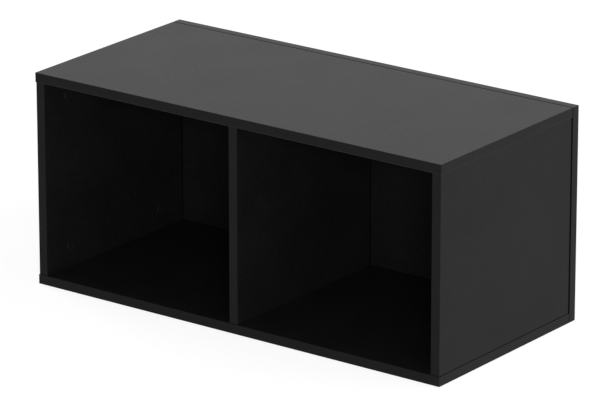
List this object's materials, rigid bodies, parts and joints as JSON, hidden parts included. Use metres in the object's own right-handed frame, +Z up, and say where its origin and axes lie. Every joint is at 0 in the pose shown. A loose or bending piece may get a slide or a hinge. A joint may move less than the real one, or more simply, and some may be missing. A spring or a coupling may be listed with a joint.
{
  "type": "record storage box",
  "caption": "Low wide open-fronted box of black laminated boards, split by an upright divider into square compartments for keeping vinyl records upright.",
  "frame": {"origin": "on the floor under the middle of the box", "axes": "+X to the right along the width, +Y from the open front to the back, +Z up"},
  "size_m": [0.794, 0.374, 0.36],
  "materials": {
    "black_melamine_board": "chipboard faced with satin black melamine",
    "black_edging": "satin black plastic edge band",
    "die_cast_zinc": "plain die-cast zinc",
    "bright_steel": "turned and zinc-plated steel",
    "black_plastic": "moulded black plastic with a fine satin",
    "beech": "plain beech, fluted and unfinished",
    "black_steel": "steel with a black finish",
    "black_rubber": "matt black rubber"
  },
  "bodies": {
    "root": {"top_panel": "black_melamine_board", "bottom_panel": "black_melamine_board", "left_side_panel": "black_melamine_board", "right_side_panel": "black_melamine_board", "centre_divider": "black_melamine_board", "back_panel": "black_melamine_board", "top_front_band": "black_edging", "top_left_band": "black_edging", "top_right_band": "black_edging", "bottom_front_band": "black_edging", "bottom_left_band": "black_edging", "bottom_right_band": "black_edging", "left_front_band": "black_edging", "divider_front_band": "black_edging", "right_front_band": "black_edging", "back_top_band": "black_edging", "back_bottom_band": "black_edging", "back_left_band": "black_edging", "back_right_band": "black_edging", "cam_locks": "die_cast_zinc", "cam_bolts": "bright_steel", "cam_cover_caps": "black_plastic", "wooden_dowels": "beech", "back_screws": "black_steel", "floor_pads": "black_rubber"}
  },
  "joints": []
}
